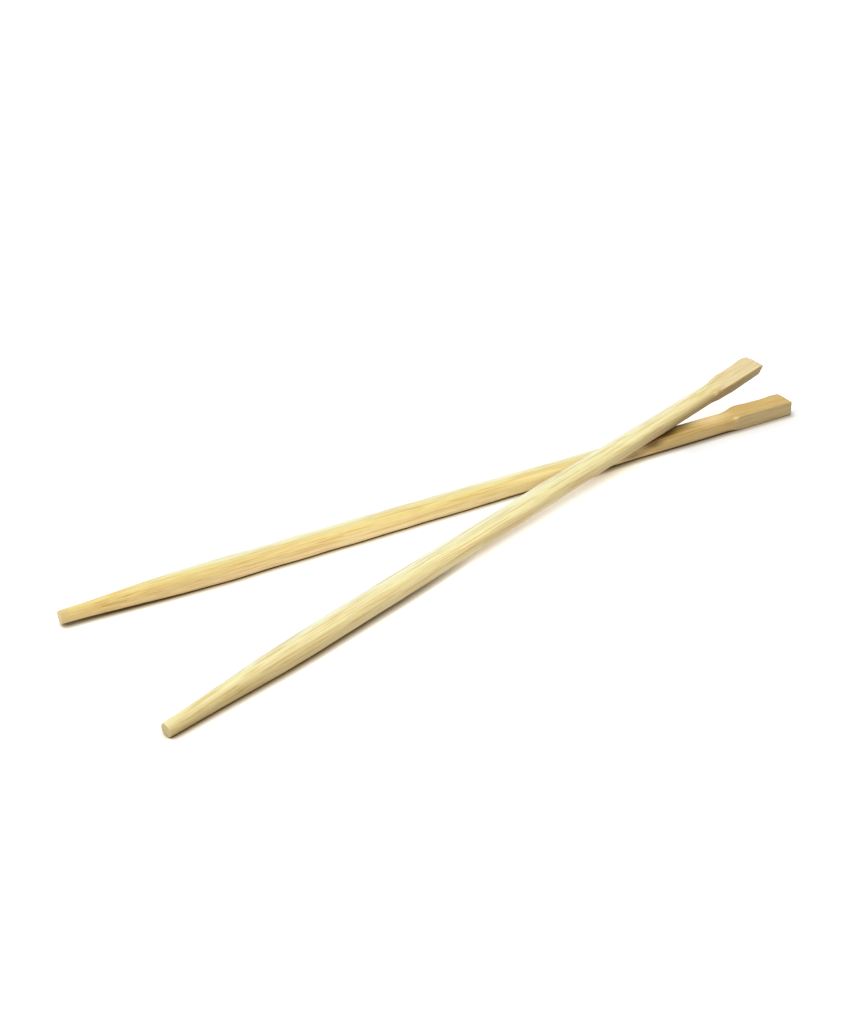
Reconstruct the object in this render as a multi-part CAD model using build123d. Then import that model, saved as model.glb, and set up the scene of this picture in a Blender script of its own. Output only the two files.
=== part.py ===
from build123d import *
import math
import os

# A pair of bamboo chopsticks, snapped from one twin blank and lying crossed on a flat surface.
# Each stick is one piece: a square head, a milled body with rounded corners, a tapered tip.
# Lengths are in millimetres and angles in degrees.

# The stick from end to end
stick_length = 230.0
head_length = 19.8
runout_length = 7.7
taper_length = 43.0

# The head keeps the square edges of the blank
head_width = 5.75
blank_thickness = 4.6
head_edge_radius = 0.3
head_end_bevel = 0.35

# The body keeps the thickness of the blank and is milled narrower, mostly on the far side
far_side_cut = 0.36
near_side_cut = 0.04
neck_corner_radius = 1.3
belly_width = 5.6
belly_corner_radius = 1.5

# The tip is nearly round, with narrow flats, and cut square
tip_width = 3.04
tip_flat_width = 0.14
tip_end_bevel = 0.15

# How the tip swells into the belly: where each section stands and how far it has grown
taper_place_shares = (0.0, 0.12, 0.24, 0.38, 0.54, 0.7, 0.85, 1.0)
taper_growth_shares = (0.0, 0.11, 0.25, 0.46, 0.68, 0.85, 0.96, 1.0)

# How the cutter lifts out of the wood between the body and the head
cutter_lift = 0.75
runout_place_shares = (0.0, 0.125, 0.25, 0.375, 0.5, 0.625, 0.75, 0.875, 1.0)

# How the two sticks lie
crossing_from_lower_tip = 174.1
crossing_from_upper_tip = 172.9
crossing_angle = 15.4
upper_roll = 13.9
resting_gap = 0.03
settling_rounds = 8

# Sizes that follow
tip_corner_radius = (tip_width - tip_flat_width) / 2
neck_width = head_width - far_side_cut - near_side_cut
head_shift = (far_side_cut - near_side_cut) / 2
head_start = stick_length - head_length
body_end = head_start - runout_length


def section(place, width, thickness, corner, shift=0.0):
    """A rounded rectangle across the stick, its width along Y and its thickness along Z."""
    across = Plane(origin=(place, shift, 0), x_dir=(0, 1, 0), z_dir=(1, 0, 0))
    return across * RectangleRounded(width, thickness, corner)


def blend(start, end, share):
    return start + (end - start) * share


def taper_sizes():
    """Place, width, thickness and corner radius of each section from the tip to the belly."""
    sizes = []
    for place_share, growth_share in zip(taper_place_shares, taper_growth_shares):
        place = blend(tip_end_bevel, taper_length, place_share)
        width = blend(tip_width, belly_width, growth_share)
        thickness = blend(tip_width, blank_thickness, growth_share)
        corner = blend(tip_corner_radius, belly_corner_radius, growth_share)
        sizes.append((place, width, thickness, corner))
    return sizes


def body_sizes(place):
    """Width, thickness and corner radius of the body, which narrows slightly to the neck."""
    share = (place - taper_length) / (body_end - taper_length)
    width = blend(belly_width, neck_width, share)
    corner = blend(belly_corner_radius, neck_corner_radius, share)
    return width, blank_thickness, corner


def tip_end():
    """The flat cut at the tip, with its rim eased by a small bevel."""
    bevelled = tip_width - 2 * tip_end_bevel
    eased_corner = tip_corner_radius - tip_end_bevel
    cut_face = section(0, bevelled, bevelled, eased_corner)
    full_face = section(tip_end_bevel, tip_width, tip_width, tip_corner_radius)
    return loft([cut_face, full_face], ruled=True)


def taper():
    return loft([section(*sizes) for sizes in taper_sizes()])


def body():
    belly = section(taper_length, *body_sizes(taper_length))
    neck = section(body_end, *body_sizes(body_end))
    return loft([belly, neck], ruled=True)


def corner_cut(side, lift):
    """Half the width and half the height where the cutter leaves one corner, and the radius it leaves."""
    centre_across = neck_width / 2 - neck_corner_radius
    centre_up = blank_thickness / 2 - neck_corner_radius
    cutter_radius = neck_corner_radius + lift
    wall = min(neck_width / 2 + lift, side) - centre_across
    across = centre_across + math.sqrt(max(cutter_radius**2 - neck_corner_radius**2, 0))
    up = centre_up + math.sqrt(max(cutter_radius**2 - wall**2, 0))
    across_limit = side - head_edge_radius
    up_limit = blank_thickness / 2 - head_edge_radius
    if across > across_limit and up > up_limit:
        return across_limit, up_limit, head_edge_radius
    return min(across, across_limit), min(up, up_limit), cutter_radius


def cut_section(place, lift):
    """The blank's section with its four corners cut by the lifted cutter."""
    top = blank_thickness / 2
    far_side = neck_width / 2 + far_side_cut
    near_side = neck_width / 2 + near_side_cut
    far_wall = min(neck_width / 2 + lift, far_side)
    near_wall = min(neck_width / 2 + lift, near_side)
    far_across, far_up, far_radius = corner_cut(far_side, lift)
    near_across, near_up, near_radius = corner_cut(near_side, lift)
    far_top = RadiusArc((far_wall, far_up), (far_across, top), -far_radius)
    near_top = RadiusArc((-near_across, top), (-near_wall, near_up), -near_radius)
    near_bottom = RadiusArc((-near_wall, -near_up), (-near_across, -top), -near_radius)
    far_bottom = RadiusArc((far_across, -top), (far_wall, -far_up), -far_radius)
    arcs = [far_top, near_top, near_bottom, far_bottom]
    flats = [Line(arc @ 1, following @ 0) for arc, following in zip(arcs, arcs[1:] + arcs[:1])]
    across_stick = Plane(origin=(place, 0, 0), x_dir=(0, 1, 0), z_dir=(1, 0, 0))
    return across_stick * make_face(arcs + flats)


def runout():
    """The cutter lifts along an arc, and the rounded corners run out over the flats of the blank."""
    sections = []
    for share in runout_place_shares:
        place = blend(body_end, head_start, share)
        sections.append(cut_section(place, cutter_lift * share**2))
    return loft(sections, ruled=True)


def head():
    """The square end of the blank, with the rim of its sawn face eased by a bevel."""
    bevel_start = stick_length - head_end_bevel
    rim_width = head_width - 2 * head_end_bevel
    rim_thickness = blank_thickness - 2 * head_end_bevel
    start = section(head_start, head_width, blank_thickness, head_edge_radius, head_shift)
    full = section(bevel_start, head_width, blank_thickness, head_edge_radius, head_shift)
    sawn = section(stick_length, rim_width, rim_thickness, head_edge_radius, head_shift)
    block = extrude(start, bevel_start - head_start, dir=(1, 0, 0))
    return block + loft([full, sawn], ruled=True)


def chopstick():
    """One stick along X, tip at the origin, its body centred on the axis."""
    return tip_end() + taper() + body() + runout() + head()


def reach(width, thickness, corner, across, up):
    """How far a section reaches from its axis in a direction given in its own two axes."""
    return (width / 2 - corner) * abs(across) + (thickness / 2 - corner) * abs(up) + corner


def upper_turn(tilt):
    """Rolled on its own axis, tilted up towards its head and turned across the lower stick."""
    return Rotation(0, 0, crossing_angle) * Rotation(0, -tilt, 0) * Rotation(upper_roll, 0, 0)


def upper_directions(tilt):
    """The upper stick's length, width and thickness directions once it is turned."""
    turn = upper_turn(tilt)
    axes = (Vector(1, 0, 0), Vector(0, 1, 0), Vector(0, 0, 1))
    return [(turn * Location(axis)).position for axis in axes]


def tip_height(tilt):
    """Height of the upper stick's axis at its tip, with the lowest section on the surface."""
    along, across, up = upper_directions(tilt)
    heights = []
    for place, width, thickness, corner in taper_sizes():
        heights.append(reach(width, thickness, corner, across.Z, up.Z) - place * along.Z)
    return max(heights)


def crossing_height(tilt):
    """Height of the upper stick's axis where it lies on the lower stick."""
    along, across, up = upper_directions(tilt)
    normal = Vector(1, 0, 0).cross(along).normalized()
    lower_reach = reach(*body_sizes(crossing_from_lower_tip), normal.Y, normal.Z)
    upper_sizes = body_sizes(crossing_from_upper_tip)
    upper_reach = reach(*upper_sizes, across.dot(normal), up.dot(normal))
    return blank_thickness / 2 + (lower_reach + upper_reach + resting_gap) / normal.Z


def settled_tilt():
    """The tilt at which the upper stick rests on the surface and on the lower stick."""
    tilt = 0.0
    for _ in range(settling_rounds):
        rise = crossing_height(tilt) - tip_height(tilt)
        tilt = math.degrees(math.asin(rise / crossing_from_upper_tip))
    return tilt


def lower_place():
    """Flat on the surface, along X."""
    return Location((0, 0, blank_thickness / 2))


def upper_place():
    """Tip on the surface, body across the lower stick."""
    tilt = settled_tilt()
    along = upper_directions(tilt)[0]
    crossing = Vector(crossing_from_lower_tip, 0, crossing_height(tilt))
    return Location(crossing - along * crossing_from_upper_tip) * upper_turn(tilt)


stick = chopstick()

# The origin lies on the surface, under the middle of the pair
pair = Compound(children=[lower_place() * stick, upper_place() * stick])
pair_box = pair.bounding_box()
to_origin = Location((-pair_box.center().X, -pair_box.center().Y, -pair_box.min.Z))

os.makedirs("parts", exist_ok=True)
export_step(to_origin * lower_place() * stick, "parts/lower_chopstick.step")
export_step(to_origin * upper_place() * stick, "parts/upper_chopstick.step")
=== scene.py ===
import math

import bmesh
import bpy
from mathutils import Matrix, Vector, noise


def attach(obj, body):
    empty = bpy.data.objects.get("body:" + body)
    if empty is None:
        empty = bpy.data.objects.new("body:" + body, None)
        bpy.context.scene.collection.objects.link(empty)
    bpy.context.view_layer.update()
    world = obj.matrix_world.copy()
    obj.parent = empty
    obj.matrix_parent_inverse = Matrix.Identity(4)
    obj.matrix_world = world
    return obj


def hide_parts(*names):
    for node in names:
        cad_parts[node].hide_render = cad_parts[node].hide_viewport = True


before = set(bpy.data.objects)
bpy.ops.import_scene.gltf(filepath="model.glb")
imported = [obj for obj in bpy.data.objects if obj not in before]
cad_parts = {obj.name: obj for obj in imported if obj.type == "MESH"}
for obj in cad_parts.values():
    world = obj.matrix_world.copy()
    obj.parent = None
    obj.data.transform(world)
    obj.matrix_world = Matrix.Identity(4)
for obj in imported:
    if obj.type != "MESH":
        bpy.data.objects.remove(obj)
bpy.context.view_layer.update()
bpy.ops.object.select_all(action="DESELECT")
print("frame loaded")

# camera, placed by the corners and edges of both sticks
cameraSettings = {
    "place": (-0.169596, -0.218869, 0.179508),
    "right": (0.85066, -0.52387, 0.04399),
    "down": (-0.25065, -0.47770, -0.84201),
    "ahead": (0.46212, 0.70524, -0.53767),
    "lens": 43.95,
    "sensorWidth": 36.0,
    "clipStart": 0.01,
    "clipEnd": 50.0,
}
camData = bpy.data.cameras.new("camera")
camera = bpy.data.objects.new("camera", camData)
bpy.context.scene.collection.objects.link(camera)
bpy.context.scene.camera = camera
camData.lens = cameraSettings["lens"]
camData.sensor_width = cameraSettings["sensorWidth"]
camData.clip_start = cameraSettings["clipStart"]
camData.clip_end = cameraSettings["clipEnd"]
camRight, camDown, camAhead = (Vector(cameraSettings[way]) for way in ("right", "down", "ahead"))
camTurn = Matrix((camRight, -camDown, -camAhead)).transposed()
camera.matrix_world = Matrix.Translation(cameraSettings["place"]) @ camTurn.to_4x4()
print("camera ready")

black = (0.0, 0.0, 0.0)
white = (1.0, 1.0, 1.0)


# helpers that add shader nodes to one material, each giving back the node's output
def nodeTools(tree):
    # a socket takes a value, or another node's output
    def feed(socket, value):
        if isinstance(value, bpy.types.NodeSocket):
            tree.links.new(value, socket)
        elif socket.type == "RGBA":
            socket.default_value = (*value, 1.0)
        else:
            socket.default_value = value

    def calc(operation, first, second, clamp=False):
        node = tree.nodes.new("ShaderNodeMath")
        node.operation = operation
        node.use_clamp = clamp
        feed(node.inputs[0], first)
        feed(node.inputs[1], second)
        return node.outputs[0]

    # 0 up to the start, 1 from the end on
    def between(source, start, end):
        return calc("DIVIDE", calc("SUBTRACT", source, start), end - start, True)

    def ramp(source, steps):
        node = tree.nodes.new("ShaderNodeValToRGB")
        elements = node.color_ramp.elements
        for count, (spot, tone) in enumerate(steps):
            step = elements[count] if count < 2 else elements.new(spot)
            step.position = spot
            step.color = (*tone, 1.0)
        feed(node.inputs["Fac"], source)
        return node.outputs["Color"]

    def mix(blend, factor, first, second):
        node = tree.nodes.new("ShaderNodeMix")
        node.data_type = "RGBA"
        node.blend_type = blend
        colors = [socket for socket in node.inputs if socket.type == "RGBA"]
        feed(node.inputs["Factor"], factor)
        feed(colors[0], first)
        feed(colors[1], second)
        return [socket for socket in node.outputs if socket.type == "RGBA"][0]

    # how open a surface is to the sky within a reach
    def openness(reach):
        node = tree.nodes.new("ShaderNodeAmbientOcclusion")
        node.samples = 8
        node.inputs["Distance"].default_value = reach
        return node.outputs["AO"]

    def split(vector):
        node = tree.nodes.new("ShaderNodeSeparateXYZ")
        feed(node.inputs["Vector"], vector)
        return node.outputs

    return feed, calc, between, ramp, mix, openness, split


# floor: white, with painted shadow, darker and browner, where the sticks close it off
floorSettings = {
    "size": 8.0,
    "white": (0.96, 0.96, 0.96),
    # painted shadow: how open the floor is to the sky, and the shade painted there
    "contactReach": 0.0021,
    "contactShadeTones": (
        (0.0, (0.12, 0.07, 0.02)),
        (0.20, (0.235, 0.165, 0.085)),
        (0.40, (0.42, 0.345, 0.225)),
        (0.61, (0.61, 0.56, 0.47)),
        (0.84, (0.72, 0.70, 0.655)),
        (0.97, white),
    ),
    "haloReach": 0.009,
    "haloShadeTones": (
        (0.2, (0.50, 0.43, 0.32)),
        (0.36, (0.74, 0.68, 0.58)),
        (0.5, (0.91, 0.89, 0.85)),
        (0.75, (1.0, 0.995, 0.985)),
        (0.9, white),
    ),
    # the same painted shadow on the near side of the lower head, where the shade reaches further
    "headHaloShadeTones": (
        (0.3, (0.30, 0.27, 0.225)),
        (0.5, (0.43, 0.405, 0.365)),
        (0.66, (0.45, 0.44, 0.425)),
        (0.8, (0.505, 0.503, 0.497)),
        (0.93, (0.57, 0.57, 0.57)),
    ),
    # where that begins and where it is full, along X and along Y
    "headHaloAlong": (0.045, 0.072),
    "headHaloAcross": (0.0165, 0.0130),
    # painted bounce light: the floor glows warm under the raised stick, but not at a contact
    "bounceGlowTones": (
        (0.15, (0.12, 0.09, 0.04)),
        (0.38, (0.22, 0.17, 0.07)),
        (0.6, (0.17, 0.145, 0.085)),
        (0.76, (0.09, 0.09, 0.08)),
        (0.9, black),
    ),
    "bounceOff": ((0.58, black), (0.96, white)),
}


def makeFloorMaterial(look):
    material = bpy.data.materials.new("white floor")
    material.use_nodes = True
    tree = material.node_tree
    feed, calc, between, ramp, mix, openness, split = nodeTools(tree)
    closeBy = openness(look["contactReach"])
    around = openness(look["haloReach"])
    spot = split(tree.nodes.new("ShaderNodeTexCoord").outputs["Object"])
    alongHead = between(spot["X"], *look["headHaloAlong"])
    nearHead = calc("MULTIPLY", alongHead, between(spot["Y"], *look["headHaloAcross"]))
    # painted shadow: the floor's colour is darkened near the sticks and beside the lower head
    contact = ramp(closeBy, look["contactShadeTones"])
    halo = ramp(around, look["haloShadeTones"])
    halo = mix("MIX", nearHead, halo, ramp(around, look["headHaloShadeTones"]))
    tone = mix("MULTIPLY", 1.0, mix("MULTIPLY", 1.0, contact, halo), look["white"])
    # painted bounce light, as a warm glow of the floor
    bounce = ramp(around, look["bounceGlowTones"])
    bounce = mix("MULTIPLY", 1.0, bounce, ramp(closeBy, look["bounceOff"]))
    shader = tree.nodes["Principled BSDF"]
    feed(shader.inputs["Base Color"], tone)
    feed(shader.inputs["Emission Color"], bounce)
    shader.inputs["Emission Strength"].default_value = 1.0
    shader.inputs["Roughness"].default_value = 1.0
    shader.inputs["Specular IOR Level"].default_value = 0.0
    return material


bpy.ops.mesh.primitive_plane_add(size=floorSettings["size"], location=(0.0, 0.0, 0.0))
floor = bpy.context.object
floor.name = "floor"
floor.data.materials.append(makeFloorMaterial(floorSettings))
print("floor ready")

# light: even fill from all round, and a wide soft key above and a little to the front
lightSettings = {
    "worldStrength": 1.05,
    "keyDirection": (0.5, 0.2, -0.84),
    "keyStrength": 3.5,
    "keyAngle": 80.0,
}
world = bpy.data.worlds.new("studio")
bpy.context.scene.world = world
world.use_nodes = True
background = world.node_tree.nodes["Background"]
background.inputs["Color"].default_value = (*white, 1.0)
background.inputs["Strength"].default_value = lightSettings["worldStrength"]
keyData = bpy.data.lights.new("key", "SUN")
keyData.energy = lightSettings["keyStrength"]
keyData.angle = math.radians(lightSettings["keyAngle"])
key = bpy.data.objects.new("key", keyData)
bpy.context.scene.collection.objects.link(key)
key.rotation_euler = Vector(lightSettings["keyDirection"]).to_track_quat("-Z", "Y").to_euler()
bpy.context.scene.view_settings.view_transform = "Standard"
print("light ready")

# shape shared by both sticks, in mm from the tip
shapeSettings = {
    "length": 230.0,
    "cornerSegments": 6,
    "smoothLevels": 2,
    # place, width, thickness, how far the section has grown
    "taper": (
        (0.0, 2.0, 2.0, 0.0),
        (0.03, 2.8, 2.8, 0.0),
        (0.14, 3.04, 3.04, 0.0),
        (0.5, 3.05, 3.05, 0.0),
        (5.3, 3.32, 3.21, 0.11),
        (10.4, 3.68, 3.43, 0.25),
        (16.4, 4.22, 3.76, 0.46),
        (23.3, 4.78, 4.10, 0.68),
        (30.2, 5.22, 4.37, 0.85),
        (36.6, 5.50, 4.54, 0.96),
    ),
    "tipEnd": 1.0,  # rings before this place move with the tip
    "tipCorner": 1.47,
    "widestCorner": 0.49,  # of the thickness
    "tipRoundness": 0.5,
    "bodyRoundness": 0.6,
    "bellyPlace": 43.0,
    "bellyWidth": 5.6,
    "bellyCorner": 1.95,
    "bodyStep": 9.5,
    "neckPlace": 202.5,
    "neckWidth": 5.35,
    "neckCorner": 1.69,
    "neckSwellLoss": 0.6,
    "thickness": 4.6,
    # sides of the blank, from the middle of the body
    "nearSide": 2.715,
    "farSide": 3.035,
    "cutterRadius": 39.5,
    # step past the neck, near corner and its roundness, far corner and its roundness
    "runout": (
        (1.0, 1.13, 0.425, 1.13, 0.425),
        (2.0, 0.97, 0.394, 0.99, 0.394),
        (3.0, 0.78, 0.358, 0.86, 0.358),
        (4.0, 0.59, 0.324, 0.75, 0.324),
        (5.0, 0.38, 0.293, 0.65, 0.31),
        (5.7, 0.22, 0.29, 0.52, 0.30),
        (6.4, 0.17, 0.4, 0.37, 0.30),
        (7.2, 0.17, 0.4, 0.23, 0.30),
        (7.9, 0.17, 0.4, 0.17, 0.4),
    ),
    "headRings": (213.0, 216.5, 220.0, 223.5, 226.5, 228.6, 229.6, 229.9),
    "headCorner": 0.13,
    "headRoundness": 0.4,
    "endInsets": (0.09, 0.5),
    "twistLimits": (0.7, 1.0),
    # waves along the stick: how often, how high, and how much fuller
    "slowWave": 0.035,
    "quickWave": 0.11,
    "waveHeight": 0.12,
    "waveSwell": 0.035,
}


def blend(start, end, share):
    return start + (end - start) * share


# bevel the two corners of the new ring that lie on one side of its middle
def cutCorners(place, shift, side, cut):
    mesh = bpy.context.object.data
    shape = bmesh.from_edit_mesh(mesh)
    for vert in shape.verts:
        onRing = abs(vert.co.x - place) < 0.001
        vert.select = onRing and (vert.co.y - shift) * side > 0.0
    shape.select_flush(True)
    bmesh.update_edit_mesh(mesh)
    corner, roundness = cut
    bpy.ops.mesh.bevel(
        offset=corner, offset_type="OFFSET", segments=shapeSettings["cornerSegments"],
        profile=roundness, affect="VERTICES", clamp_overlap=False,
    )


# ring across a stick: width along Y, thickness along Z, slanted sideways and upward in degrees
def addRing(place, width, thickness, shift, nearCut, farCut, slant):
    middle = (place, shift, 0.0)
    bpy.ops.mesh.primitive_plane_add(size=1.0, location=middle, rotation=(0.0, math.pi / 2, 0.0))
    bpy.ops.transform.resize(value=(1.0, width, thickness), center_override=middle)
    bpy.ops.mesh.select_mode(type="VERT")
    cutCorners(place, shift, 1.0, farCut)
    cutCorners(place, shift, -1.0, nearCut)
    # only the new ring still has a face
    shape = bmesh.from_edit_mesh(bpy.context.object.data)
    for face in shape.faces:
        face.select = True
    bmesh.update_edit_mesh(bpy.context.object.data)
    bpy.ops.mesh.select_mode(type="FACE")
    for axis, angle in zip("ZY", slant):
        if angle:
            bpy.ops.transform.rotate(
                value=math.radians(angle), orient_axis=axis, center_override=middle,
            )
    bpy.ops.mesh.delete(type="ONLY_FACE")
    bpy.ops.mesh.select_mode(type="EDGE")
    bpy.ops.mesh.select_all(action="DESELECT")


# all rings of one stick: place, width, thickness, shift, near cut, far cut
def stickRings(swell, roundness):
    shape = shapeSettings
    rings = []
    for place, width, thickness, grown in shape["taper"]:
        corner = blend(shape["tipCorner"], shape["bellyCorner"], grown)
        corner = min(corner * blend(1.0, roundness, grown), thickness * shape["widestCorner"])
        cut = (corner, blend(shape["tipRoundness"], shape["bodyRoundness"], grown))
        rings.append((place, width + swell, thickness + swell, 0.0, cut, cut))
    steps = round((shape["neckPlace"] - shape["bellyPlace"]) / shape["bodyStep"])
    for count in range(steps + 1):
        along = count / steps
        place = blend(shape["bellyPlace"], shape["neckPlace"], along)
        width = blend(shape["bellyWidth"], shape["neckWidth"], along)
        corner = blend(shape["bellyCorner"], shape["neckCorner"], along)
        cut = (corner * roundness, shape["bodyRoundness"])
        extra = swell * (1.0 - shape["neckSwellLoss"] * along)
        rings.append((place, width + extra, shape["thickness"] + extra, 0.0, cut, cut))
    # the cutter lifts along an arc, and the sides of the blank end its cut
    for step, nearCorner, nearRoundness, farCorner, farRoundness in shape["runout"]:
        wall = shape["neckWidth"] / 2 + step * step / 2 / shape["cutterRadius"]
        far = min(wall, shape["farSide"])
        near = min(wall, shape["nearSide"])
        place = shape["neckPlace"] + step
        nearCut = (nearCorner, nearRoundness)
        farCut = (farCorner, farRoundness)
        rings.append((place, far + near, shape["thickness"], (far - near) / 2, nearCut, farCut))
    headWidth = shape["farSide"] + shape["nearSide"]
    headShift = (shape["farSide"] - shape["nearSide"]) / 2
    cut = (shape["headCorner"], shape["headRoundness"])
    for place in shape["headRings"]:
        rings.append((place, headWidth, shape["thickness"], headShift, cut, cut))
    for inset in shape["endInsets"]:
        width = headWidth - 2 * inset
        rings.append((shape["length"], width, shape["thickness"] - 2 * inset, headShift, cut, cut))
    return rings


# real sticks are never quite straight: slow waves, rough bumps, bends and worn corners
def bendAndBump(stick, settings):
    wave = shapeSettings["waveHeight"]
    for vert in stick.data.vertices:
        place = vert.co.x
        slow = Vector((place * shapeSettings["slowWave"], settings["seed"], 0.0))
        quick = Vector((place * shapeSettings["quickWave"], 0.0, settings["seed"]))
        sideways = noise.noise(slow) * wave + noise.noise(quick) * wave * 0.5
        fuller = 1.0 + noise.noise(quick * 0.8 + slow) * shapeSettings["waveSwell"]
        vert.co.y = vert.co.y * fuller + sideways
        vert.co.z = vert.co.z * fuller
        for centre, reach, farSide, top in settings["bumps"]:
            near = math.exp(-((place - centre) / reach) ** 2)
            if vert.co.y > 0.0:
                vert.co.y += farSide * near
                if vert.co.z > 0.0:
                    vert.co.z += top * near * min(vert.co.y, 1.0)
        for centre, reach, side, up in settings["bends"]:
            near = math.exp(-((place - centre) / reach) ** 2)
            vert.co.y += side * near
            vert.co.z += up * near
        for spot, reach, back in settings["worn"]:
            vert.co.x -= back * math.exp(-((vert.co - Vector(spot)).length / reach) ** 2)


def makeStick(name, settings):
    bpy.ops.mesh.primitive_plane_add(size=1.0)
    stick = bpy.context.object
    stick.name = name
    bpy.ops.object.mode_set(mode="EDIT")
    bpy.ops.mesh.select_all(action="SELECT")
    bpy.ops.mesh.delete(type="VERT")
    headStart = shapeSettings["headRings"][0]
    rings = stickRings(settings["swell"], settings["roundness"])
    for place, width, thickness, shift, nearCut, farCut in rings:
        # the saw cut's slant and the head's extra length build up along the head
        headShare = max(place - headStart, 0.0) / (shapeSettings["length"] - headStart)
        slant = (settings["slantSide"] * headShare, settings["slantUp"] * headShare)
        place += settings["headReach"] * headShare
        if place < shapeSettings["tipEnd"]:
            place -= settings["tipReach"]
        addRing(place, width, thickness, shift, nearCut, farCut, slant)
    bpy.ops.mesh.select_all(action="SELECT")
    bpy.ops.mesh.bridge_edge_loops()
    bpy.ops.mesh.select_all(action="SELECT")
    bpy.ops.mesh.fill_holes(sides=0)
    bpy.ops.mesh.select_all(action="SELECT")
    bpy.ops.mesh.normals_make_consistent(inside=False)
    bpy.ops.object.mode_set(mode="OBJECT")
    bpy.ops.object.modifier_add(type="SUBSURF")
    stick.modifiers[-1].levels = shapeSettings["smoothLevels"]
    stick.modifiers[-1].render_levels = shapeSettings["smoothLevels"]
    bpy.ops.object.modifier_apply(modifier=stick.modifiers[-1].name)
    if settings["twist"]:
        bpy.ops.object.modifier_add(type="SIMPLE_DEFORM")
        stick.modifiers[-1].deform_method = "TWIST"
        stick.modifiers[-1].deform_axis = "X"
        stick.modifiers[-1].angle = math.radians(settings["twist"])
        stick.modifiers[-1].limits = shapeSettings["twistLimits"]
        bpy.ops.object.modifier_apply(modifier=stick.modifiers[-1].name)
    bendAndBump(stick, settings)
    # grain coordinates, in mm along and across the stick before it is laid down
    bpy.ops.geometry.attribute_add(name="grain", domain="POINT", data_type="FLOAT_VECTOR")
    spots = [value for vert in stick.data.vertices for value in vert.co]
    stick.data.attributes["grain"].data.foreach_set("vector", spots)
    bpy.ops.object.shade_smooth()
    turn = Matrix.Rotation(math.radians(settings["yaw"]), 4, "Z")
    turn = turn @ Matrix.Rotation(math.radians(-settings["rise"]), 4, "Y")
    turn = turn @ Matrix.Rotation(math.radians(settings["roll"]), 4, "X")
    stick.matrix_world = Matrix.Translation(settings["place"]) @ turn @ Matrix.Scale(0.001, 4)
    bpy.ops.object.transform_apply(location=True, rotation=True, scale=True)
    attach(stick, "root")
    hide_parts(settings["node"])
    print(name, len(stick.data.vertices), "vertices")
    return stick


# bamboo shared by both sticks, on the grain coordinates
grainSettings = {
    # noise patterns: stretch along, across and up, detail, shift
    "wander": ((0.02, 0.3, 0.3), 2.0, 1.0),
    "bands": ((0.012, 0.8, 0.8), 3.0, 4.0),
    "streaks": ((0.05, 1.9, 1.9), 2.0, 9.0),
    "fuzz": ((0.25, 2.3, 2.3), 2.0, 30.0),
    "lines": ((0.05, 2.9, 2.9), 1.0, 21.0),
    "breaks": ((0.25, 1.2, 1.2), 1.0, 15.0),
    "noiseRoughness": 0.55,
    "wanderStrength": 0.8,
    "fibreStretch": (0.07, 1.9, 1.9),
    "fibreWidth": 0.3,
    # where each pattern starts to show, and how steeply
    "warmStart": (0.48, 5.0),
    "lineStart": (0.54, 12.0),
    "breakStart": (0.45, 6.0),
    # painted shade on the near side of the stick toward the head and at the tip: how steeply it
    # shows, and its lead
    "nearShadeToHead": (-0.75, 0.25),
    "nearShadeAtTip": (-0.65, 0.95),
    # near flat of the head, sawn head and cut tip: where they start, and how steeply
    "frontStart": (-2.5, -8.0),
    "sawnStart": (0.6, 6.0),
    "tipCutStart": (0.12, -20.0),
    "headStreaks": 1.2,
    "headLines": 0.5,
    "markEdge": 1.4,
    # painted shade in closed corners: how far they look, and the least openness they expect
    "closedReach": 0.014,
    "leastOpenness": 0.35,
    "roughness": 0.48,
    "streakRoughness": 0.25,
    "specular": 0.15,
    "bumpStrength": 0.35,
    "bumpDistance": 0.00006,
    "bandBump": 0.6,
}


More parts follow.
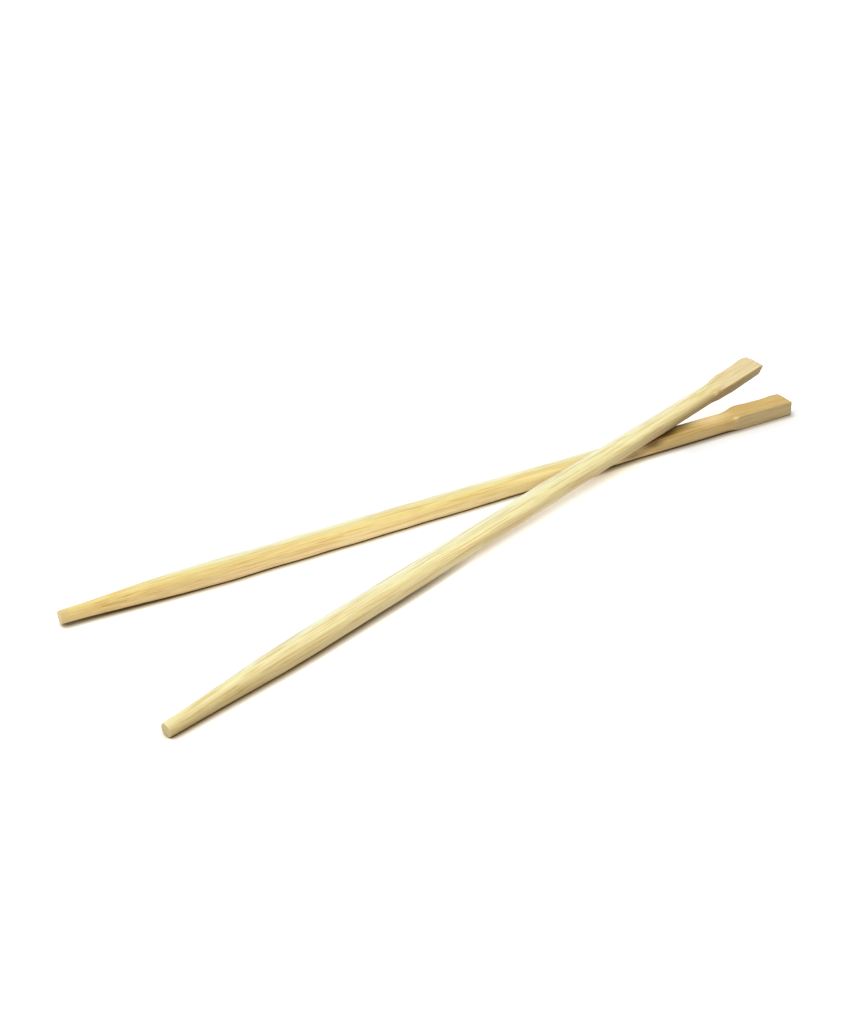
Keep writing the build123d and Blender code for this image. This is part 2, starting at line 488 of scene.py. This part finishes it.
def makeBamboo(look):
    material = bpy.data.materials.new(look["material"])
    material.use_nodes = True
    nodes = material.node_tree.nodes
    feed, calc, between, ramp, mix, openness, split = nodeTools(material.node_tree)
    grainNode = nodes.new("ShaderNodeAttribute")
    grainNode.attribute_name = "grain"
    grain = grainNode.outputs["Vector"]
    axes = split(grain)
    along = axes["X"]

    def cloud(pattern):
        stretch, detail, shift = grainSettings[pattern]
        mapping = nodes.new("ShaderNodeMapping")
        mapping.inputs["Scale"].default_value = stretch
        mapping.inputs["Location"].default_value = (shift, shift * 0.7, look["seed"])
        feed(mapping.inputs["Vector"], grain)
        node = nodes.new("ShaderNodeTexNoise")
        node.inputs["Scale"].default_value = 1.0
        node.inputs["Detail"].default_value = detail
        node.inputs["Roughness"].default_value = grainSettings["noiseRoughness"]
        feed(node.inputs["Vector"], mapping.outputs["Vector"])
        return node.outputs["Fac"]

    # noise turned into a swing around nothing
    def swing(source, strength):
        return calc("MULTIPLY", calc("SUBTRACT", source, 0.5), 2.0 * strength)

    # 0 up to the start, then up to 1 with the slope
    def grow(source, start, slope):
        return calc("MULTIPLY", calc("SUBTRACT", source, start), slope, True)

    def tint(factor, tone, color):
        return mix("MIX", factor, tone, mix("MULTIPLY", 1.0, tone, color))

    def grey(value):
        node = nodes.new("ShaderNodeCombineColor")
        for socket in node.inputs:
            feed(socket, value)
        return node.outputs["Color"]

    def vectorCalc(operation, output, first, second=None):
        node = nodes.new("ShaderNodeVectorMath")
        node.operation = operation
        feed(node.inputs[0], first)
        if second:
            feed(node.inputs[1], second)
        return node.outputs[output]

    # broad colour across the stick, from its low near edge to its high far edge: the wood's own
    # colour, paler at the high far edge as a painted highlight
    tilt = math.radians(look["tilt"])
    toBack = calc("MULTIPLY", axes["Y"], math.sin(tilt))
    toTop = calc("MULTIPLY", axes["Z"], math.cos(tilt))
    height = calc("ADD", toBack, toTop)
    across = calc("ADD", height, swing(cloud("wander"), grainSettings["wanderStrength"]))
    lowest = look["across"][0][0]
    highest = look["across"][-1][0]
    steps = [((spot - lowest) / (highest - lowest), color) for spot, color in look["across"]]
    tone = ramp(between(across, lowest, highest), steps)

    # warm bands, streaks and fuzz, dark lines, and short fibre ends
    bands = cloud("bands")
    warm = calc("MULTIPLY", grow(bands, *grainSettings["warmStart"]), look["warmthShare"])
    tone = mix("MIX", warm, tone, look["warmth"])
    streaks = cloud("streaks")
    streakShade = swing(streaks, look["streakStrength"])
    streakShade = calc("ADD", streakShade, swing(cloud("fuzz"), look["fuzzStrength"]))
    bothShades = calc("ADD", swing(bands, look["bandStrength"]), streakShade)
    shade = grey(calc("MULTIPLY", calc("ADD", bothShades, 1.0), look["level"]))
    tone = mix("MULTIPLY", 1.0, tone, shade)
    lines = grow(cloud("lines"), *grainSettings["lineStart"])
    lines = calc("MULTIPLY", lines, look["lineStrength"] * 2.0, True)
    tone = tint(lines, tone, look["lineTone"])
    fibreMap = nodes.new("ShaderNodeMapping")
    fibreMap.inputs["Scale"].default_value = grainSettings["fibreStretch"]
    fibreMap.inputs["Location"].default_value = (look["seed"], 0.3, 0.6)
    feed(fibreMap.inputs["Vector"], grain)
    cells = nodes.new("ShaderNodeTexVoronoi")
    cells.inputs["Scale"].default_value = 1.0
    feed(cells.inputs["Vector"], fibreMap.outputs["Vector"])
    apart = calc("DIVIDE", cells.outputs["Distance"], grainSettings["fibreWidth"])
    breaks = grow(cloud("breaks"), *grainSettings["breakStart"])
    fibres = calc("MULTIPLY", calc("SUBTRACT", 1.0, apart, True), breaks)
    fibres = calc("MULTIPLY", fibres, look["fibreStrength"] * 2.0, True)
    tone = mix("MIX", fibres, tone, look["fibreColor"])

    # painted shade: toward the head the stick is darker, and its near side is darker at both ends,
    # where less light falls
    tone = tint(between(along, *look["headwardShadePlace"]), tone, look["headwardShadeTone"])
    for name, side in (("nearShadeToHead", "side"), ("nearShadeAtTip", "tip")):
        slope, lead = grainSettings[name]
        low = calc("ADD", calc("MULTIPLY", height, slope), lead, True)
        there = calc("MULTIPLY", between(along, *look[side + "Place"]), low)
        tone = tint(there, tone, look[side + "Tone"])

    # unmilled head: one colour on the flats, another on the near side, with the same streaks; both
    # hold the wood's own colour, darkened as painted shade
    nearSide = mix("MIX", between(along, *look["frontPlace"]), tone, look["headFront"])
    head = mix("MIX", grow(axes["Y"], *grainSettings["frontStart"]), look["headTop"], nearSide)
    headShade = calc("ADD", calc("MULTIPLY", bothShades, grainSettings["headStreaks"]), 1.0)
    head = mix("MULTIPLY", 1.0, head, grey(headShade))
    head = tint(calc("MULTIPLY", lines, grainSettings["headLines"]), head, look["lineTone"])
    tone = mix("MIX", between(along, *look["headPlace"]), tone, head)

    # small marks, each around its own place: spots of the wood's own colour, and also painted
    # shadow and painted light
    for spot, reachAlong, reachAcross, color, strength in look["marksAndPaintedShading"]:
        away = vectorCalc("SUBTRACT", "Vector", grain, spot)
        away = vectorCalc("DIVIDE", "Vector", away, (reachAlong, reachAcross, reachAcross))
        distance = vectorCalc("LENGTH", "Value", away)
        mark = calc("SUBTRACT", grainSettings["markEdge"], distance, True)
        tone = mix("MIX", calc("MULTIPLY", mark, strength), tone, color)

    # sawn ends are duller, with the cut fibres showing as darker spots
    normals = nodes.new("ShaderNodeNewGeometry")
    yaw = math.radians(look["yaw"])
    stickWay = (math.cos(yaw), math.sin(yaw), 0.0)
    alongNormal = vectorCalc("DOT_PRODUCT", "Value", normals.outputs["True Normal"], stickWay)
    sawn = tint(lines, mix("MULTIPLY", 1.0, shade, look["sawnTone"]), look["sawnSpot"])
    tone = mix("MIX", grow(alongNormal, *grainSettings["sawnStart"]), tone, sawn)
    tipStart, tipSlope = grainSettings["tipCutStart"]
    tone = mix("MIX", grow(along, tipStart - look["tipReach"], tipSlope), tone, look["tipCut"])

    # painted shade: closed corners between the pieces and the floor are darker and browner
    upward = split(normals.outputs["Normal"])["Z"]
    expected = calc("ADD", calc("MULTIPLY", upward, 0.5), 0.5)
    expected = calc("MAXIMUM", expected, grainSettings["leastOpenness"])
    relative = calc("DIVIDE", openness(grainSettings["closedReach"]), expected, True)
    deepOver = between(along, *look["deepEnd"])
    deep = calc("SUBTRACT", between(along, *look["deepPlace"]), deepOver, True)
    closed = ramp(relative, look["closedShadeTones"])
    closed = mix("MIX", deep, closed, ramp(relative, look["deepShadeTones"]))
    tone = mix("MULTIPLY", 1.0, tone, closed)

    shader = nodes["Principled BSDF"]
    feed(shader.inputs["Base Color"], tone)
    rough = calc("MULTIPLY", streaks, grainSettings["streakRoughness"])
    feed(shader.inputs["Roughness"], calc("ADD", rough, grainSettings["roughness"]))
    shader.inputs["Specular IOR Level"].default_value = grainSettings["specular"]
    bump = nodes.new("ShaderNodeBump")
    bump.inputs["Strength"].default_value = grainSettings["bumpStrength"]
    bump.inputs["Distance"].default_value = grainSettings["bumpDistance"]
    ridges = calc("ADD", streaks, calc("MULTIPLY", bands, grainSettings["bandBump"]))
    feed(bump.inputs["Height"], calc("SUBTRACT", ridges, fibres))
    feed(shader.inputs["Normal"], bump.outputs["Normal"])
    return material


# the stick and the CAD node under it get the same bamboo
def dressStick(stick, settings):
    material = makeBamboo(settings)
    stick.data.materials.append(material)
    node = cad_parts[settings["node"]]
    node.data.materials.clear()
    node.data.materials.append(material)
    print(settings["material"], "ready")


lowerSettings = {
    "node": "lower_chopstick",
    "slot": "golden_bamboo",
    "material": "golden bamboo",
    # where it lies, in m and degrees
    "place": (-0.115, 0.014472, 0.00236),
    "yaw": 0.0,
    "rise": 0.0,
    "roll": 0.0,
    # shape of its own: fuller sections, corners, ends, in mm and degrees
    "swell": 0.12,
    "roundness": 0.84,
    "slantSide": 0.0,
    "slantUp": 9.0,
    "twist": 0.0,
    "tipReach": 0.25,
    "headReach": 0.35,
    # bumps of the unmilled head and of the taper: place, reach along, far side, top
    "bumps": (
        (227.0, 4.5, 0.42, 0.14),
        (211.5, 4.0, 0.42, 0.18),
        (218.5, 3.0, 0.16, 0.06),
        (20.0, 9.0, 0.0, 0.05),
    ),
    # bends: place, reach along, sideways, up
    "bends": ((22.0, 14.0, 0.0, 0.06),),
    # worn end corners: place, reach, how far the wood is worn back
    "worn": (((230.3, 3.1, 2.3), 1.2, 0.2),),
    "seed": 3.0,
    # colour across the stick, from the low near edge to the high far edge, in mm: the wood's own
    # colour, paler at the high far edge as a painted highlight
    "tilt": 37.0,
    "across": (
        (-2.9, (0.66, 0.52, 0.28)),
        (-1.6, (0.65, 0.52, 0.255)),
        (-0.5, (0.63, 0.49, 0.205)),
        (0.3, (0.55, 0.435, 0.16)),
        (1.1, (0.555, 0.455, 0.175)),
        (1.9, (0.54, 0.467, 0.215)),
        (2.5, (0.565, 0.53, 0.32)),
        (2.9, (0.59, 0.58, 0.44)),
    ),
    "level": 0.835,
    "bandStrength": 0.08,
    "streakStrength": 0.13,
    "fuzzStrength": 0.13,
    "lineStrength": 0.50,
    "lineTone": (0.86, 0.76, 0.61),
    "fibreStrength": 0.40,
    "fibreColor": (0.40, 0.23, 0.085),
    "warmth": (0.62, 0.44, 0.24),
    "warmthShare": 0.25,
    # each place is where its tone begins and where it is full, in mm from the tip
    # painted shade: darker from the crossing toward the head, and on the near side toward the head
    # and at the tip
    "headwardShadeTone": (0.69, 0.61, 0.51),
    "headwardShadePlace": (164.0, 176.0),
    "sideTone": (0.94, 0.95, 1.0),
    "sidePlace": (180.0, 205.0),
    "tipTone": (0.79, 0.74, 0.68),
    "tipPlace": (70.0, 25.0),
    "headTop": (0.345, 0.238, 0.082),
    "headPlace": (200.0, 207.5),
    "headFront": (0.315, 0.232, 0.112),
    "frontPlace": (204.0, 209.0),
    # painted shade in closed corners, deeper just right of the crossing
    "closedShadeTones": (
        (0.0, (0.12, 0.06, 0.015)),
        (0.25, (0.45, 0.33, 0.15)),
        (0.45, (0.90, 0.85, 0.75)),
        (0.62, white),
    ),
    "deepShadeTones": (
        (0.0, (0.09, 0.045, 0.01)),
        (0.38, (0.34, 0.23, 0.085)),
        (0.64, (0.70, 0.60, 0.43)),
        (0.86, white),
    ),
    "deepPlace": (166.0, 180.0),
    "deepEnd": (183.0, 193.0),
    "tipCut": (0.33, 0.27, 0.155),
    "sawnTone": (0.53, 0.44, 0.285),
    "sawnSpot": (0.70, 0.58, 0.44),
    # small marks: place in mm, reach along and across, colour, strength; some are spots of the
    # wood, some painted shadow or painted light
    "marksAndPaintedShading": (
        ((206.6, -2.5, 2.0), 1.1, 0.7, (0.50, 0.40, 0.20), 0.5),
        ((230.3, -2.7, -1.0), 1.1, 2.0, (0.26, 0.225, 0.165), 0.7),
        ((0.3, -0.4, 0.4), 2.0, 1.8, (0.33, 0.25, 0.13), 0.55),
        ((13.5, 0.2, 1.6), 2.2, 0.6, (0.45, 0.27, 0.085), 0.6),
        ((52.0, -1.6, 2.0), 5.0, 0.35, (0.42, 0.27, 0.12), 0.4),
        # painted light on the near side, left of the crossing
        ((134.0, -2.7, 0.2), 12.0, 2.2, (0.67, 0.54, 0.27), 0.55),
        # painted shadow of the upper stick, right of the crossing, through the mark at 182.5 mm
        ((166.5, -2.7, 0.0), 4.6, 1.8, (0.07, 0.035, 0.01), 0.55),
        ((173.5, -2.2, 1.7), 4.4, 1.7, (0.07, 0.032, 0.004), 0.85),
        ((180.0, -0.8, 2.3), 3.6, 1.6, (0.07, 0.032, 0.004), 0.5),
        ((182.5, -2.7, -0.6), 5.5, 2.3, (0.285, 0.21, 0.095), 0.35),
        # painted light on the top before the head
        ((198.0, 0.9, 2.2), 7.5, 2.8, (0.52, 0.39, 0.185), 0.75),
    ),
}
lowerStick = makeStick("lower_stick", lowerSettings)
dressStick(lowerStick, lowerSettings)

upperSettings = {
    "node": "upper_chopstick",
    "slot": "pale_bamboo",
    "material": "pale bamboo",
    "place": (-0.1075, -0.0314171, 0.00166),
    "yaw": 15.4,
    "rise": 1.9091,
    "roll": 13.9,
    "swell": 0.28,
    "roundness": 1.0,
    "slantSide": -12.0,
    "slantUp": 14.0,
    "twist": 2.0,
    "tipReach": 0.45,
    "headReach": 1.15,
    "bumps": (
        (211.0, 2.5, 0.20, 0.10),
        (225.5, 4.5, 0.72, 0.10),
        (219.0, 3.0, 0.20, 0.0),
    ),
    "bends": ((222.0, 27.0, -0.12, -0.38),),
    "worn": (((231.0, 3.1, 2.3), 1.9, 0.9),),
    "seed": 11.0,
    "tilt": 51.0,
    "across": (
        (-3.0, (0.55, 0.46, 0.25)),
        (-1.9, (0.475, 0.40, 0.205)),
        (-1.1, (0.455, 0.385, 0.19)),
        (-0.4, (0.52, 0.44, 0.22)),
        (0.3, (0.55, 0.48, 0.242)),
        (1.0, (0.58, 0.53, 0.278)),
        (2.0, (0.56, 0.53, 0.295)),
        (2.9, (0.58, 0.577, 0.43)),
    ),
    "level": 0.82,
    "bandStrength": 0.05,
    "streakStrength": 0.10,
    "fuzzStrength": 0.13,
    "lineStrength": 0.60,
    "lineTone": (0.86, 0.74, 0.60),
    "fibreStrength": 0.30,
    "fibreColor": (0.42, 0.27, 0.12),
    "warmth": (0.60, 0.42, 0.24),
    "warmthShare": 0.25,
    # painted shade: darker toward the head, and on the near side toward the head and at the tip
    "headwardShadeTone": (0.95, 0.90, 0.85),
    "headwardShadePlace": (180.0, 206.0),
    "sideTone": (0.70, 0.64, 0.56),
    "sidePlace": (110.0, 212.0),
    "tipTone": (0.78, 0.73, 0.65),
    "tipPlace": (70.0, 18.0),
    "headTop": (0.43, 0.352, 0.196),
    "headPlace": (206.0, 211.0),
    "headFront": (0.225, 0.155, 0.040),
    "frontPlace": (209.0, 218.0),
    # painted shade in closed corners, deeper from the crossing to the head
    "closedShadeTones": (
        (0.0, (0.10, 0.055, 0.018)),
        (0.3, (0.40, 0.30, 0.18)),
        (0.55, (0.82, 0.76, 0.66)),
        (0.8, white),
    ),
    "deepShadeTones": (
        (0.0, (0.10, 0.055, 0.018)),
        (0.3, (0.40, 0.30, 0.18)),
        (0.6, (0.78, 0.70, 0.56)),
        (0.86, white),
    ),
    "deepPlace": (168.0, 182.0),
    "deepEnd": (230.0, 240.0),
    "tipCut": (0.275, 0.225, 0.115),
    "sawnTone": (0.50, 0.435, 0.30),
    "sawnSpot": (0.72, 0.62, 0.48),
    "marksAndPaintedShading": (
        ((231.2, -2.8, 2.0), 1.5, 1.5, (0.30, 0.275, 0.225), 1.0),
        # painted shade on the lower near side of the head
        ((227.5, -2.8, -0.8), 5.0, 1.9, (0.17, 0.12, 0.042), 0.6),
        ((204.0, -2.4, 1.6), 1.2, 0.7, (0.50, 0.44, 0.19), 0.35),
        ((-0.3, 1.2, 0.5), 0.7, 1.0, (0.42, 0.39, 0.33), 0.9),
    ),
}
upperStick = makeStick("upper_stick", upperSettings)
dressStick(upperStick, upperSettings)
